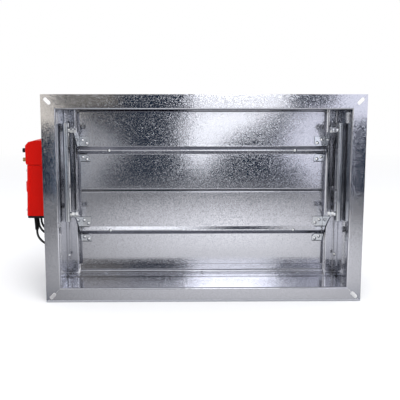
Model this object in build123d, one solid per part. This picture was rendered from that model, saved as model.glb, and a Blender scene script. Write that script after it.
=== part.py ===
from build123d import *
import math
import os

# Duct fire damper: a flanged casing, two linked double-skin blades, a spring actuator on the
# left wall and a heat-release box behind it. Millimetres. The origin is the centre of the front
# flange face, X points right, Y points along the duct away from the front, Z points up.
# The blades stand closed.

# Casing
DUCT_WIDTH = 550.0
DUCT_HEIGHT = 340.0
CASING_DEPTH = 240.0
CASING_SHEET = 1.5
CASING_BEND = 3.0
FLANGE = 28.0
SLOT_LENGTH = 16.0
SLOT_WIDTH = 7.0
SLOT_INSET = 12.5
MITRE_SLIT = 0.3
CUT_OVERRUN = 1.0

# Blades
AXIS_Y = 124.0
UPPER_AXIS_Z = 86.0
BLADE_PITCH = 166.0
BLADE_GAP = 3.5
BLADE_TOP_GAP = 4.6
BLADE_HALF_WIDTH = 249.0
BLADE_HALF_THICKNESS = 3.5
SKIN = 1.0
SKIN_BEND = 2.0
BEAD_HALF_BASE = 8.0
BEAD_APEX = 8.5
BEAD_APEX_RADIUS = 2.5
BEAD_FOOT_RADIUS = 1.5
LIP_DROP = 7.5
REAR_SKIN_SETBACK = 7.0
SEAL_GAP = 0.5

# Shafts and bushes
SHAFT_RADIUS = 6.0
SHAFT_INNER_END = 170.0
SHAFT_OUTER_END = 284.0
DRIVE_SHAFT_END = 349.0
RUNNING_GAP = 0.05
BUSH_RADIUS = 8.0
BUSH_FLANGE_RADIUS = 12.0
BUSH_FLANGE = 3.0
BUSH_INNER_END = 266.0
CLIP_THICKNESS = 1.0
CLIP_RADIUS = 9.5
CLIP_SEAT_RADIUS = 5.0
CLIP_GAP = 0.5
CLIP_MOUTH = 4.0
SHAFT_HOLE_RADIUS = 8.0

# Levers, studs and link bars
LEVER_SHEET = 2.5
LEVER_BEND = 3.5
LEVER_FACE = 252.5
FOOT_END = 230.0
FOOT_CHAMFER = 5.0
UPPER_FOOT_TOP = 27.0
LOWER_FOOT_END = -24.0
FOOT_NOTCH = 8.8
FOOT_NOTCH_MARGIN = 0.5
FOOT_RIVET_OUTER_X = 244.0
FOOT_RIVET_INNER_X = 235.5
UPPER_FOOT_RIVETS = (21.5, 15.0)
LOWER_FOOT_RIVETS = (-13.5, -18.0)
CRANK_Y = -70.0
CRANK_Z = 44.0
LEVER_TIP_RADIUS = 8.0
LEVER_WAIST = 6.0
STUD_RADIUS = 3.0
STUD_HEAD = 4.0
STUD_TIP = 0.5
HEX_FLATS = 10.0
NUT = 5.0
WASHER = 3.5
WASHER_RADIUS = 5.5
OPEN_PIVOT_GAP = 0.3
SIDE_GAP = 0.3
LINK_SHEET = 2.0
LINK_BEND = 3.0
LINK_WIDTH = 10.0
LINK_DEPTH = 16.0
LINK_FACE = 261.5
LINK_PIN_INSET = 8.5
LINK_OVERHANG = 13.0

# Stops and jambs
STOP_SHEET = 1.5
STOP_OUTER_BEND = 2.5
STOP_INNER_BEND = 1.0
STOP_LEG_FRONT = 83.0
STOP_FIRST_RISER = 6.7
STOP_TOP = 17.5
STOP_TREAD = 6.0
STOP_HALF_WIDTH = 254.0
TOP_STOP_DROP = 7.5
TOP_STOP_LEG = 23.5
TOP_RIVET_SETBACK = 16.5
JAMB_WIDTH = 19.0
JAMB_WEB_Y = 113.5
JAMB_LEG_FRONT = 83.5
JAMB_RETURN_END = 150.5
JAMB_LIP_EDGE = 250.5
JAMB_FOOT_RADIUS = 9.0
JAMB_FOOT_GAP = 0.1

# Rivets and screws
RIVET_RADIUS = 2.0
RIVET_HOLE_GAP = 0.1
RIVET_HEAD_RADIUS = 3.6
RIVET_HEAD = 1.7
RIVET_TAIL_RADIUS = 2.8
RIVET_TAIL = 1.5
RIDGE_RIVET_X = 190.0
STOP_RIVET_SPACING = 200.0
STOP_RIVET_Y = 104.0
JAMB_SCREW_Y = 100.0
JAMB_SCREW_HEIGHTS = (-128.0, 5.0, 115.0)
SCREW_RADIUS = 2.0
SCREW_HEAD_RADIUS = 4.0
SCREW_HEAD = 2.4
SCREW_CROWN_RADIUS = 2.8
SOCKET_RADIUS = 1.6
SOCKET_DEPTH = 1.2

# Actuator
BRACKET_SHEET = 2.0
BRACKET_BEND = 3.0
BRACKET_RISE = 12.0
BRACKET_FRONT = 92.0
BRACKET_FOOT = 13.0
BRACKET_BOTTOM = 0.0
BRACKET_TOP = 104.0
ACTUATOR_WIDTH = 84.0
ACTUATOR_CORNER = 7.0
BODY_TOP_DEPTH = 62.5
BODY_BOTTOM_DEPTH = 65.4
BODY_BOTTOM = -43.0
BODY_TOP = 58.8
PARTING = 1.2
PARTING_INSET = 2.5
BULGE = 2.2
BULGE_EDGE = 2.0
BULGE_BOTTOM = 4.0
BULGE_TOP = 27.0
BULGE_MARGIN = 8.0
HEAD_DEPTH = 65.5
HEAD_TOP = 108.2
HEAD_SHOULDER = 97.0
HEAD_CHAMFER_TOP = 105.4
HEAD_CHAMFER_DEPTH = 57.5
HEAD_SLOPE_END = 45.0
HEAD_LOW_EDGE = 3.0
HEAD_LOW_RISE = 4.5
HEAD_EDGE_RADIUS = 3.0
END_CAP = 4.7
END_CAP_INSET = 1.0
HUB_RADIUS = 11.0
HUB_GAP = 0.4
HUB_RECESS = 1.0
INDICATOR_RADIUS = 4.5
INDICATOR_REACH = 12.6
INDICATOR_DISC_RADIUS = 10.0
INDICATOR_DISC = 2.0
POINTER_REACH = 7.5
POINTER_HALF_WIDTH = 1.5
POINTER_TOP = 9.5
STOP_SCREW_Z = 67.0
STOP_SCREW_RADIUS = 4.0
STOP_SCREW_REACH = 13.0
STOP_SCREW_STEM = 2.0
STOP_SCREW_EDGE = 1.0
STOP_SCREW_SLOT = 1.5
STOP_SCREW_SLOT_HALF = 0.6

# Heat-release box on the left wall
BOX_FRONT = 170.0
BOX_BACK = 226.0
BOX_BOTTOM = -45.0
BOX_TOP = 40.0
BOX_DEPTH = 24.0
BOX_WALL = 2.5
BOX_CORNER = 5.0
LID_DEPTH = 6.0
LID_EDGE = 2.0
LID_SCREW_INSET = 7.0
BUTTON_RADIUS = 5.0
BUTTON_GAP = 0.4
BUTTON_STAND = 3.5
BUTTON_EDGE = 1.0
BUTTON_TAIL = 1.0
BUTTON_COLLAR = 1.5
BUTTON_COLLAR_RADIUS = 7.0
BUTTON_Z = 18.0
PROBE_RADIUS = 4.0
PROBE_REACH = 60.0
PROBE_TIP = 2.4
PROBE_HOLE_GAP = 1.0
PROBE_Y = 190.0
PROBE_Z = 3.0
PROBE_COLLAR_RADIUS = 9.0
PROBE_COLLAR = 4.0

# Leads
LEAD_RADIUS = 2.3
BOOT_TOP_RADIUS = 5.6
BOOT_TIP_RADIUS = 3.6
GLAND_RADIUS = 5.5
GLAND_TAPER = 6.0
GLAND_TIP_RADIUS = 3.3
ARC_SHARE = 0.45
LONG_LEAD_ROUTE = [
    (-340.5, 112, -76.5), (-340.5, 112, -87), (-335.5, 115, -98), (-327.5, 120, -107), (-316, 129, -115),
    (-303.5, 141, -119.5), (-294.5, 155.5, -116), (-290.5, 168.5, -102), (-290.5, 176, -79.5),
    (-290.5, 176, -57),
]
MIDDLE_LEAD_ROUTE = [
    (-340.7, 130, -55.5), (-340.7, 130, -66.5), (-337.5, 132, -78), (-331, 136, -87), (-321, 143, -94),
    (-309, 153, -98.5), (-298.5, 166.5, -98), (-292.5, 180, -92), (-290.5, 191, -81.5),
    (-290.5, 197, -69), (-290.5, 197, -57),
]
SHORT_LEAD_ROUTE = [
    (-338.2, 146, -55.5), (-338.2, 146, -65.5), (-335, 148, -76), (-328.5, 152.5, -85),
    (-318.5, 160.5, -92.5), (-308, 171, -99), (-298, 184.5, -101.5), (-292, 198.5, -97),
    (-290.5, 209.5, -84.5), (-290.5, 215, -70.5), (-290.5, 215, -57),
]

# Worked out from the sizes above
HALF_WIDTH = DUCT_WIDTH / 2
HALF_HEIGHT = DUCT_HEIGHT / 2
WALL_OUT = HALF_WIDTH + CASING_SHEET
LOWER_AXIS_Z = UPPER_AXIS_Z - BLADE_PITCH
AXIS_HEIGHTS = (UPPER_AXIS_Z, LOWER_AXIS_Z)
BLADE_HALF_HEIGHT = (BLADE_PITCH - BLADE_GAP) / 2
BLADE_FRONT_Y = AXIS_Y - BLADE_HALF_THICKNESS
BEAD_SLOPE = math.atan2(BEAD_APEX - BLADE_HALF_THICKNESS, BEAD_HALF_BASE)
BEAD_CREST = BEAD_APEX - BEAD_APEX_RADIUS * (1 / math.cos(BEAD_SLOPE) - 1)
LEVER_INNER_FACE = LEVER_FACE - LEVER_SHEET
STUD_END = LINK_FACE + LINK_SHEET + SIDE_GAP + NUT + STUD_TIP
JAMB_INNER_FACE = HALF_WIDTH - JAMB_WIDTH
RIVET_HOLE_RADIUS = RIVET_RADIUS + RIVET_HOLE_GAP
BRACKET_BACK = 2 * AXIS_Y - BRACKET_FRONT
ACTUATOR_FACE = WALL_OUT + BRACKET_RISE
ACTUATOR_FRONT = AXIS_Y - ACTUATOR_WIDTH / 2
BODY_OUT = ACTUATOR_FACE + BODY_TOP_DEPTH
BODY_TAPER = (BODY_BOTTOM_DEPTH - BODY_TOP_DEPTH) / (BODY_TOP - BODY_BOTTOM)
HEAD_OUT = ACTUATOR_FACE + HEAD_DEPTH
HEAD_BOTTOM = BODY_TOP + PARTING
LID_FACE = WALL_OUT + BOX_DEPTH
LID_OUT = LID_FACE + LID_DEPTH
BOX_MID_Y = (BOX_FRONT + BOX_BACK) / 2
FOOT_RIVETS = [
    (x, height)
    for heights in (UPPER_FOOT_RIVETS, LOWER_FOOT_RIVETS)
    for x, height in zip((FOOT_RIVET_OUTER_X, FOOT_RIVET_INNER_X), heights)
]


# Shapes used by many pieces

def rod_x(radius, start, end, y, z):
    """Round bar along X."""
    return Pos((start + end) / 2, y, z) * Rot(0, 90, 0) * Cylinder(radius, abs(end - start))


def rod_y(radius, x, start, end, z):
    """Round bar along Y."""
    return Pos(x, (start + end) / 2, z) * Rot(90, 0, 0) * Cylinder(radius, abs(end - start))


def rod_z(radius, x, y, start, end):
    """Round bar along Z."""
    return Pos(x, y, (start + end) / 2) * Cylinder(radius, abs(end - start))


def hex_x(flats, start, end, y, z):
    """Hexagon bar along X."""
    outline = RegularPolygon(flats / 2, 6, major_radius=False)
    return extrude(Plane((start, y, z), x_dir=(0, 1, 0), z_dir=(1, 0, 0)) * outline, amount=end - start)


def block(x_range, y_range, z_range):
    """Plain block between three pairs of limits."""
    ranges = (x_range, y_range, z_range)
    sizes = [high - low for low, high in ranges]
    middle = [(low + high) / 2 for low, high in ranges]
    return Pos(*middle) * Box(*sizes)


def sheet_section(points, radii, thickness, side):
    """Section of a folded sheet: one face follows the points, the other lies on the given side."""
    sign = 1 if side == Side.RIGHT else -1
    near = [Vector(*point) for point in points]
    runs = [(after - before).normalized() for before, after in zip(near, near[1:])]
    normals = [Vector(run.Y, -run.X) * sign for run in runs]
    far = [near[0] + normals[0] * thickness]
    far_radii = []
    for index, radius in enumerate(radii):
        before, after = normals[index], normals[index + 1]
        far.append(near[index + 1] + (before + after) * (thickness / (1 + before.dot(after))))
        bends_inward = runs[index].cross(runs[index + 1]).Z * sign < 0
        far_radii.append(radius - thickness if bends_inward else radius + thickness)
    far.append(near[-1] + normals[-1] * thickness)
    outline = FilletPolyline(*near, radius=radii) + FilletPolyline(*far, radius=far_radii)
    outline += [Line(near[0], far[0]), Line(near[-1], far[-1])]
    return make_face(outline)


def along_x(section, half_length):
    """Section drawn in Y and Z, extruded to both sides along X."""
    return extrude(Plane.YZ * section, amount=half_length, both=True)


def along_z(section, bottom, top):
    """Section drawn in X and Y, extruded along Z."""
    return extrude(Plane.XY.offset(bottom) * section, amount=top - bottom)


def through_depth(outline):
    """Outline drawn in X and Z, extruded through the casing's depth."""
    return extrude(Plane.XZ * outline, amount=CASING_DEPTH, dir=(0, 1, 0))


def both_sides(shape):
    """A shape and its mirror image across the middle of the duct."""
    return [shape, mirror(shape, about=Plane.YZ)]


def group(shapes):
    """Separate solids kept together in one node."""
    solids = []
    for shape in shapes:
        solids.extend(shape.solids())
    return Compound(children=solids)


def rivet_dome():
    """Round rivet head standing on the XY plane."""
    ball = (RIVET_HEAD_RADIUS**2 + RIVET_HEAD**2) / (2 * RIVET_HEAD)
    seat = Cylinder(RIVET_HEAD_RADIUS, RIVET_HEAD, align=(Align.CENTER, Align.CENTER, Align.MIN))
    return seat & Pos(0, 0, RIVET_HEAD - ball) * Sphere(ball)


def rivet_y(x, z, head_face, tail_face):
    """Domed rivet along Y, its head on the front face and its tail behind."""
    dome = Pos(x, head_face, z) * Rot(90, 0, 0) * rivet_dome()
    tail = rod_y(RIVET_TAIL_RADIUS, x, tail_face, tail_face + RIVET_TAIL, z)
    return dome + rod_y(RIVET_RADIUS, x, head_face, tail_face, z) + tail


def pan_screw(plane, grip):
    """Pan-head screw standing on a plane, its shank going in."""
    head = Cone(
        SCREW_HEAD_RADIUS, SCREW_CROWN_RADIUS, SCREW_HEAD, align=(Align.CENTER, Align.CENTER, Align.MIN)
    )
    socket = Pos(0, 0, SCREW_HEAD) * extrude(RegularPolygon(SOCKET_RADIUS, 6), amount=-SOCKET_DEPTH)
    shank = Cylinder(SCREW_RADIUS, grip, align=(Align.CENTER, Align.CENTER, Align.MAX))
    return plane * (head - socket + shank)


# Casing

def corner_cuts():
    """Oblong slot and open mitre line at each flange corner, through both flanges."""
    cuts = Sketch()
    slit_length = math.sqrt(2) * (FLANGE - CASING_BEND)
    slit_middle = (FLANGE + CASING_BEND) / 2
    for side_x in (-1, 1):
        for side_z in (-1, 1):
            turn = Rot(0, 0, 45 * side_x * side_z)
            slot_x = side_x * (HALF_WIDTH + FLANGE - SLOT_INSET)
            slot_z = side_z * (HALF_HEIGHT + FLANGE - SLOT_INSET)
            slit_x = side_x * (HALF_WIDTH + slit_middle)
            slit_z = side_z * (HALF_HEIGHT + slit_middle)
            cuts += Pos(slot_x, slot_z) * turn * SlotOverall(SLOT_LENGTH, SLOT_WIDTH)
            cuts += Pos(slit_x, slit_z) * turn * Rectangle(slit_length, MITRE_SLIT)
    return through_depth(cuts)


def mitre_wedge(along_half, across_half):
    """Trapezium prism that cuts a casing section on the 45 degree planes of its two corners."""
    inner = CASING_BEND * 2
    outer = FLANGE + CASING_BEND
    corners = [
        (-along_half + inner, -across_half + inner),
        (along_half - inner, -across_half + inner),
        (along_half + outer, -across_half - outer),
        (-along_half - outer, -across_half - outer),
    ]
    return through_depth(Polygon(*corners, align=None))


def casing_channel(across_half, along_half):
    """Bottom-lying casing section with its two flanges and mitred ends."""
    run = [
        (0, -across_half - FLANGE),
        (0, -across_half),
        (CASING_DEPTH, -across_half),
        (CASING_DEPTH, -across_half - FLANGE),
    ]
    section = sheet_section(run, [CASING_BEND] * 2, CASING_SHEET, Side.RIGHT)
    channel = along_x(section, along_half + FLANGE)
    return channel & mitre_wedge(along_half, across_half)


def casing_pieces():
    """The four folded sections of the casing."""
    cuts = corner_cuts()
    bottom = casing_channel(HALF_HEIGHT, HALF_WIDTH)
    right = Rot(0, -90, 0) * casing_channel(HALF_WIDTH, HALF_HEIGHT)
    for axis_z in AXIS_HEIGHTS:
        right -= rod_x(BUSH_RADIUS, HALF_WIDTH - CUT_OVERRUN, WALL_OUT + CUT_OVERRUN, AXIS_Y, axis_z)
    left = mirror(right, about=Plane.YZ)
    probe_hole = PROBE_RADIUS + PROBE_HOLE_GAP
    left -= rod_x(probe_hole, -WALL_OUT - CUT_OVERRUN, -HALF_WIDTH + CUT_OVERRUN, PROBE_Y, PROBE_Z)
    top = mirror(bottom, about=Plane.XY)
    return {
        "casing_top": top - cuts,
        "casing_bottom": bottom - cuts,
        "casing_left": left - cuts,
        "casing_right": right - cuts,
    }


# Stops and jambs

def bottom_stop():
    """Stepped sill stop in front of the lower blade."""
    sill = -HALF_HEIGHT
    riser_y = BLADE_FRONT_Y - SEAL_GAP - STOP_SHEET
    run = [
        (STOP_LEG_FRONT, sill + STOP_SHEET),
        (riser_y - STOP_TREAD, sill + STOP_SHEET),
        (riser_y - STOP_TREAD, sill + STOP_FIRST_RISER),
        (riser_y, sill + STOP_FIRST_RISER),
        (riser_y, sill + STOP_TOP),
    ]
    radii = [STOP_INNER_BEND, STOP_OUTER_BEND, STOP_INNER_BEND]
    stop = along_x(sheet_section(run, radii, STOP_SHEET, Side.RIGHT), HALF_WIDTH)
    ends = block(
        (STOP_HALF_WIDTH, HALF_WIDTH),
        (riser_y - STOP_TREAD - STOP_INNER_BEND, AXIS_Y),
        (sill, sill + STOP_TOP),
    )
    for end in both_sides(ends):
        stop -= end
    return stop


def top_stop():
    """Angle behind the upper blade's top edge."""
    face_y = AXIS_Y + BLADE_HALF_THICKNESS - SKIN
    run = [
        (face_y, HALF_HEIGHT - TOP_STOP_DROP),
        (face_y, HALF_HEIGHT),
        (face_y + TOP_STOP_LEG, HALF_HEIGHT),
    ]
    return along_x(sheet_section(run, [STOP_OUTER_BEND], STOP_SHEET, Side.RIGHT), STOP_HALF_WIDTH)


def right_jamb():
    """Folded strip beside the right blade ends, with a lip behind them that closes the gap."""
    bottom = -HALF_HEIGHT + STOP_SHEET + JAMB_FOOT_GAP
    run = [
        (HALF_WIDTH - STOP_SHEET, JAMB_LEG_FRONT),
        (HALF_WIDTH - STOP_SHEET, JAMB_WEB_Y),
        (JAMB_INNER_FACE, JAMB_WEB_Y),
        (JAMB_INNER_FACE, JAMB_RETURN_END),
        (JAMB_LIP_EDGE, JAMB_RETURN_END),
    ]
    radii = [STOP_INNER_BEND, STOP_OUTER_BEND, STOP_INNER_BEND]
    section = sheet_section(run, radii, STOP_SHEET, Side.RIGHT)
    jamb = along_z(section, bottom, HALF_HEIGHT)
    corner = Rectangle(JAMB_FOOT_RADIUS, JAMB_FOOT_RADIUS, align=Align.MIN)
    corner -= Pos(JAMB_FOOT_RADIUS, JAMB_FOOT_RADIUS) * Circle(JAMB_FOOT_RADIUS)
    jamb -= through_depth(Pos(JAMB_INNER_FACE, bottom) * corner)
    jamb -= block(
        (JAMB_LIP_EDGE, JAMB_INNER_FACE),
        (AXIS_Y, JAMB_RETURN_END + STOP_SHEET),
        (bottom, bottom + JAMB_FOOT_RADIUS),
    )
    hole_end = JAMB_INNER_FACE + STOP_SHEET + CUT_OVERRUN
    for axis_z in AXIS_HEIGHTS:
        jamb -= rod_x(SHAFT_HOLE_RADIUS, JAMB_INNER_FACE - CUT_OVERRUN, hole_end, AXIS_Y, axis_z)
    leg_face = HALF_WIDTH - STOP_SHEET
    for height in JAMB_SCREW_HEIGHTS:
        jamb -= rod_x(SCREW_RADIUS, leg_face - CUT_OVERRUN, HALF_WIDTH + CUT_OVERRUN, JAMB_SCREW_Y, height)
    return jamb


def stop_rivets():
    """Rivets that hold the two stops to the casing, seen on the sill and under the top wall."""
    rivets = []
    top_y = AXIS_Y + TOP_RIVET_SETBACK
    for step in (-1, 0, 1):
        x = step * STOP_RIVET_SPACING
        rivets.append(Pos(x, STOP_RIVET_Y, -HALF_HEIGHT + STOP_SHEET) * rivet_dome())
        rivets.append(Pos(x, top_y, HALF_HEIGHT - STOP_SHEET) * Rot(180, 0, 0) * rivet_dome())
    return group(rivets)


def jamb_screws():
    """Screws through the jamb legs into the side walls."""
    screws = []
    for height in JAMB_SCREW_HEIGHTS:
        face = Plane((HALF_WIDTH - STOP_SHEET, JAMB_SCREW_Y, height), z_dir=(-1, 0, 0))
        screws.extend(both_sides(pan_screw(face, STOP_SHEET)))
    return group(screws)


# Bushes, shafts and clips

def bush(axis_z):
    """Flanged bush in the right wall."""
    body = rod_x(BUSH_RADIUS - RUNNING_GAP, BUSH_INNER_END, WALL_OUT, AXIS_Y, axis_z)
    body += rod_x(BUSH_FLANGE_RADIUS, WALL_OUT, WALL_OUT + BUSH_FLANGE, AXIS_Y, axis_z)
    bore_end = WALL_OUT + BUSH_FLANGE + CUT_OVERRUN
    bore = rod_x(SHAFT_RADIUS + RUNNING_GAP, BUSH_INNER_END - CUT_OVERRUN, bore_end, AXIS_Y, axis_z)
    return body - bore


def clip_start():
    """Station of the clip's inner face on a shaft."""
    return WALL_OUT + BUSH_FLANGE + CLIP_GAP


def stub_shaft(axis_z, end, clipped):
    """Stub shaft held in the right end of a blade by a cross rivet."""
    shaft = rod_x(SHAFT_RADIUS, SHAFT_INNER_END, end, AXIS_Y, axis_z)
    shaft -= rod_y(RIVET_HOLE_RADIUS, RIDGE_RIVET_X, AXIS_Y - SHAFT_RADIUS, AXIS_Y + SHAFT_RADIUS, axis_z)
    if clipped:
        ring = rod_x(CLIP_RADIUS, clip_start(), clip_start() + CLIP_THICKNESS, AXIS_Y, axis_z)
        seat = rod_x(CLIP_SEAT_RADIUS, clip_start(), clip_start() + CLIP_THICKNESS, AXIS_Y, axis_z)
        shaft -= ring - seat
    return shaft


def shaft_clip(axis_z):
    """Spring clip in the shaft's groove, open below."""
    start = clip_start()
    end = start + CLIP_THICKNESS
    clip = rod_x(CLIP_RADIUS, start, end, AXIS_Y, axis_z)
    clip -= rod_x(CLIP_SEAT_RADIUS + RUNNING_GAP, start, end, AXIS_Y, axis_z)
    mouth = (AXIS_Y - CLIP_MOUTH, AXIS_Y + CLIP_MOUTH)
    return clip - block((start, end), mouth, (axis_z - 2 * CLIP_RADIUS, axis_z))


# Blades

def bead(side):
    """Corner points of the stiffening bead, top to bottom, on the front (-1) or the back (1)."""
    face = side * BLADE_HALF_THICKNESS
    return [(face, BEAD_HALF_BASE), (side * BEAD_APEX, 0), (face, -BEAD_HALF_BASE)]


def front_skin(axis_z):
    """Front sheet of a blade, with a bead over the shaft and returned edges."""
    face = -BLADE_HALF_THICKNESS
    inside = BLADE_HALF_THICKNESS - SKIN
    top = min(BLADE_HALF_HEIGHT, HALF_HEIGHT - BLADE_TOP_GAP - axis_z)
    run = [(inside - SEAL_GAP, top), (face, top)]
    run += bead(-1)
    run += [(face, -BLADE_HALF_HEIGHT), (inside, -BLADE_HALF_HEIGHT)]
    radii = [SKIN_BEND, BEAD_FOOT_RADIUS, BEAD_APEX_RADIUS, BEAD_FOOT_RADIUS, SKIN_BEND]
    section = Pos(AXIS_Y, axis_z) * sheet_section(run, radii, SKIN, Side.LEFT)
    skin = along_x(section, BLADE_HALF_WIDTH)
    for x, dz in FOOT_RIVETS:
        for hole in both_sides(rod_y(RIVET_HOLE_RADIUS, x, BLADE_FRONT_Y - SKIN, AXIS_Y, axis_z + dz)):
            skin -= hole
    for hole in both_sides(rod_y(RIVET_HOLE_RADIUS, RIDGE_RIVET_X, AXIS_Y - 2 * BEAD_APEX, AXIS_Y, axis_z)):
        skin -= hole
    return skin


def rear_skin(axis_z):
    """Rear sheet of a blade, whose lip laps behind the edge below."""
    face = BLADE_HALF_THICKNESS
    inside = -BLADE_HALF_THICKNESS + SKIN
    top = BLADE_HALF_HEIGHT - REAR_SKIN_SETBACK
    run = [(inside, top), (face, top)]
    run += bead(1)
    run += [(face, -BLADE_HALF_HEIGHT - LIP_DROP)]
    radii = [SKIN_BEND, BEAD_FOOT_RADIUS, BEAD_APEX_RADIUS, BEAD_FOOT_RADIUS]
    section = Pos(AXIS_Y, axis_z) * sheet_section(run, radii, SKIN, Side.RIGHT)
    skin = along_x(section, BLADE_HALF_WIDTH)
    for hole in both_sides(rod_y(RIVET_HOLE_RADIUS, RIDGE_RIVET_X, AXIS_Y, AXIS_Y + 2 * BEAD_APEX, axis_z)):
        skin -= hole
    return skin


def blade_rivets(axis_z):
    """Rivets of the lever feet and of the two shafts on one blade."""
    rivets = []
    for x, dz in FOOT_RIVETS:
        rivet = rivet_y(x, axis_z + dz, BLADE_FRONT_Y - LEVER_SHEET, BLADE_FRONT_Y + SKIN)
        rivets.extend(both_sides(rivet))
    shaft_rivet = rivet_y(RIDGE_RIVET_X, axis_z, AXIS_Y - BEAD_CREST, AXIS_Y + BEAD_CREST)
    rivets.extend(both_sides(shaft_rivet))
    return group(rivets)


# Levers and link bars

def lever_outline():
    """Side view of a lever: a wide foot line, a round tip and a hollowed lower edge."""
    tip = Pos(CRANK_Y, CRANK_Z) * Circle(LEVER_TIP_RADIUS)
    foot = Line((-BLADE_HALF_THICKNESS, UPPER_FOOT_TOP), (-BLADE_HALF_THICKNESS, LOWER_FOOT_END))
    outline = make_hull(tip.edges() + foot.edges())
    edge_start = Vector(CRANK_Y, CRANK_Z - LEVER_TIP_RADIUS)
    edge_end = Vector(-BLADE_HALF_THICKNESS - LEVER_BEND, LOWER_FOOT_END)
    chord = (edge_end - edge_start).length
    radius = (chord**2 / 4 + LEVER_WAIST**2) / (2 * LEVER_WAIST)
    below = (edge_end - edge_start).normalized().rotate(Axis.Z, -90)
    hollow = (edge_start + edge_end) / 2 + below * (radius - LEVER_WAIST)
    return outline - Pos(hollow.X, hollow.Y) * Circle(radius)


def right_lever(axis_z):
    """Crank lever folded from plate: a web beside the blade's end and two riveted feet."""
    foot_run = [
        (FOOT_END, BLADE_FRONT_Y),
        (LEVER_FACE, BLADE_FRONT_Y),
        (LEVER_FACE, 0),
    ]
    angle = along_z(
        sheet_section(foot_run, [LEVER_BEND], LEVER_SHEET, Side.RIGHT),
        axis_z + LOWER_FOOT_END,
        axis_z + CRANK_Z + LEVER_TIP_RADIUS,
    )
    outline = Pos(AXIS_Y, axis_z) * lever_outline()
    web = extrude(Plane.YZ.offset(FOOT_END) * outline, amount=LEVER_FACE - FOOT_END)
    lever = angle & web
    lever -= block(
        (FOOT_END - CUT_OVERRUN, LEVER_FACE + CUT_OVERRUN),
        (BLADE_FRONT_Y - LEVER_BEND - FOOT_NOTCH_MARGIN, AXIS_Y),
        (axis_z - FOOT_NOTCH, axis_z + FOOT_NOTCH),
    )
    hole_start = LEVER_INNER_FACE - CUT_OVERRUN
    hole_end = LEVER_FACE + CUT_OVERRUN
    lever -= rod_x(STUD_RADIUS, hole_start, hole_end, AXIS_Y + CRANK_Y, axis_z + CRANK_Z)
    for x, dz in FOOT_RIVETS:
        lever -= rod_y(RIVET_HOLE_RADIUS, x, BLADE_FRONT_Y - 2 * LEVER_SHEET, AXIS_Y, axis_z + dz)
    corner_edges = lever.edges().filter_by(Axis.Y).group_by(Axis.X)[0]
    return chamfer(corner_edges, FOOT_CHAMFER)


def right_pivot_stud(axis_z):
    """Hexagon-head bolt through a lever's tip."""
    y = AXIS_Y + CRANK_Y
    z = axis_z + CRANK_Z
    head = hex_x(HEX_FLATS, LEVER_INNER_FACE - STUD_HEAD, LEVER_INNER_FACE, y, z)
    return head + rod_x(STUD_RADIUS, LEVER_INNER_FACE, STUD_END, y, z)


def right_pivot_nuts(axis_z):
    """Nut and washer that clamp the bolt to its lever, and the lock nut inside the link bar."""
    y = AXIS_Y + CRANK_Y
    z = axis_z + CRANK_Z
    washer_end = LINK_FACE - SIDE_GAP
    lock_start = LINK_FACE + LINK_SHEET + SIDE_GAP
    hole = rod_x(STUD_RADIUS, LEVER_FACE - CUT_OVERRUN, STUD_END + CUT_OVERRUN, y, z)
    nut = hex_x(HEX_FLATS, LEVER_FACE, washer_end - WASHER, y, z) - hole
    washer = rod_x(WASHER_RADIUS, washer_end - WASHER, washer_end, y, z) - hole
    lock_nut = hex_x(HEX_FLATS, lock_start, lock_start + NUT, y, z) - hole
    return [nut, washer, lock_nut]


def right_link_bar():
    """Channel that ties the two levers of one side together."""
    pin_y = AXIS_Y + CRANK_Y
    face_y = pin_y - LINK_PIN_INSET
    run = [
        (LINK_FACE, face_y + LINK_DEPTH),
        (LINK_FACE, face_y),
        (LINK_FACE + LINK_WIDTH, face_y),
        (LINK_FACE + LINK_WIDTH, face_y + LINK_DEPTH),
    ]
    bottom = LOWER_AXIS_Z + CRANK_Z - LINK_OVERHANG
    top = UPPER_AXIS_Z + CRANK_Z + LINK_OVERHANG
    bar = along_z(sheet_section(run, [LINK_BEND] * 2, LINK_SHEET, Side.LEFT), bottom, top)
    gaps = {UPPER_AXIS_Z: RUNNING_GAP, LOWER_AXIS_Z: OPEN_PIVOT_GAP}
    for axis_z, gap in gaps.items():
        hole_end = LINK_FACE + LINK_SHEET + CUT_OVERRUN
        bar -= rod_x(STUD_RADIUS + gap, LINK_FACE - CUT_OVERRUN, hole_end, pin_y, axis_z + CRANK_Z)
    return bar


# Actuator on the left wall

def actuator_bracket():
    """Hat-section bracket that carries the actuator clear of the bush."""
    run = [
        (-WALL_OUT, BRACKET_FRONT - BRACKET_FOOT),
        (-WALL_OUT, BRACKET_FRONT),
        (-ACTUATOR_FACE + BRACKET_SHEET, BRACKET_FRONT),
        (-ACTUATOR_FACE + BRACKET_SHEET, BRACKET_BACK),
        (-WALL_OUT, BRACKET_BACK),
        (-WALL_OUT, BRACKET_BACK + BRACKET_FOOT),
    ]
    outer_bend = BRACKET_BEND
    inner_bend = BRACKET_BEND - BRACKET_SHEET
    radii = [outer_bend, inner_bend, inner_bend, outer_bend]
    bracket = along_z(sheet_section(run, radii, BRACKET_SHEET, Side.LEFT), BRACKET_BOTTOM, BRACKET_TOP)
    web_back = -ACTUATOR_FACE + BRACKET_SHEET + CUT_OVERRUN
    bracket -= rod_x(HUB_RADIUS, -ACTUATOR_FACE - CUT_OVERRUN, web_back, AXIS_Y, UPPER_AXIS_Z)
    foot_face = -WALL_OUT - BRACKET_SHEET - CUT_OVERRUN
    for y, z in bracket_screw_places():
        bracket -= rod_x(SCREW_RADIUS, foot_face, -WALL_OUT + CUT_OVERRUN, y, z)
    return bracket


def bracket_screw_places():
    """Y and Z of the four screws in the bracket's feet."""
    half_foot = BRACKET_FOOT / 2 + BRACKET_SHEET / 2
    heights = (BRACKET_BOTTOM + BRACKET_FOOT, BRACKET_TOP - BRACKET_FOOT)
    return [(y, z) for y in (BRACKET_FRONT - half_foot, BRACKET_BACK + half_foot) for z in heights]


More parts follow.
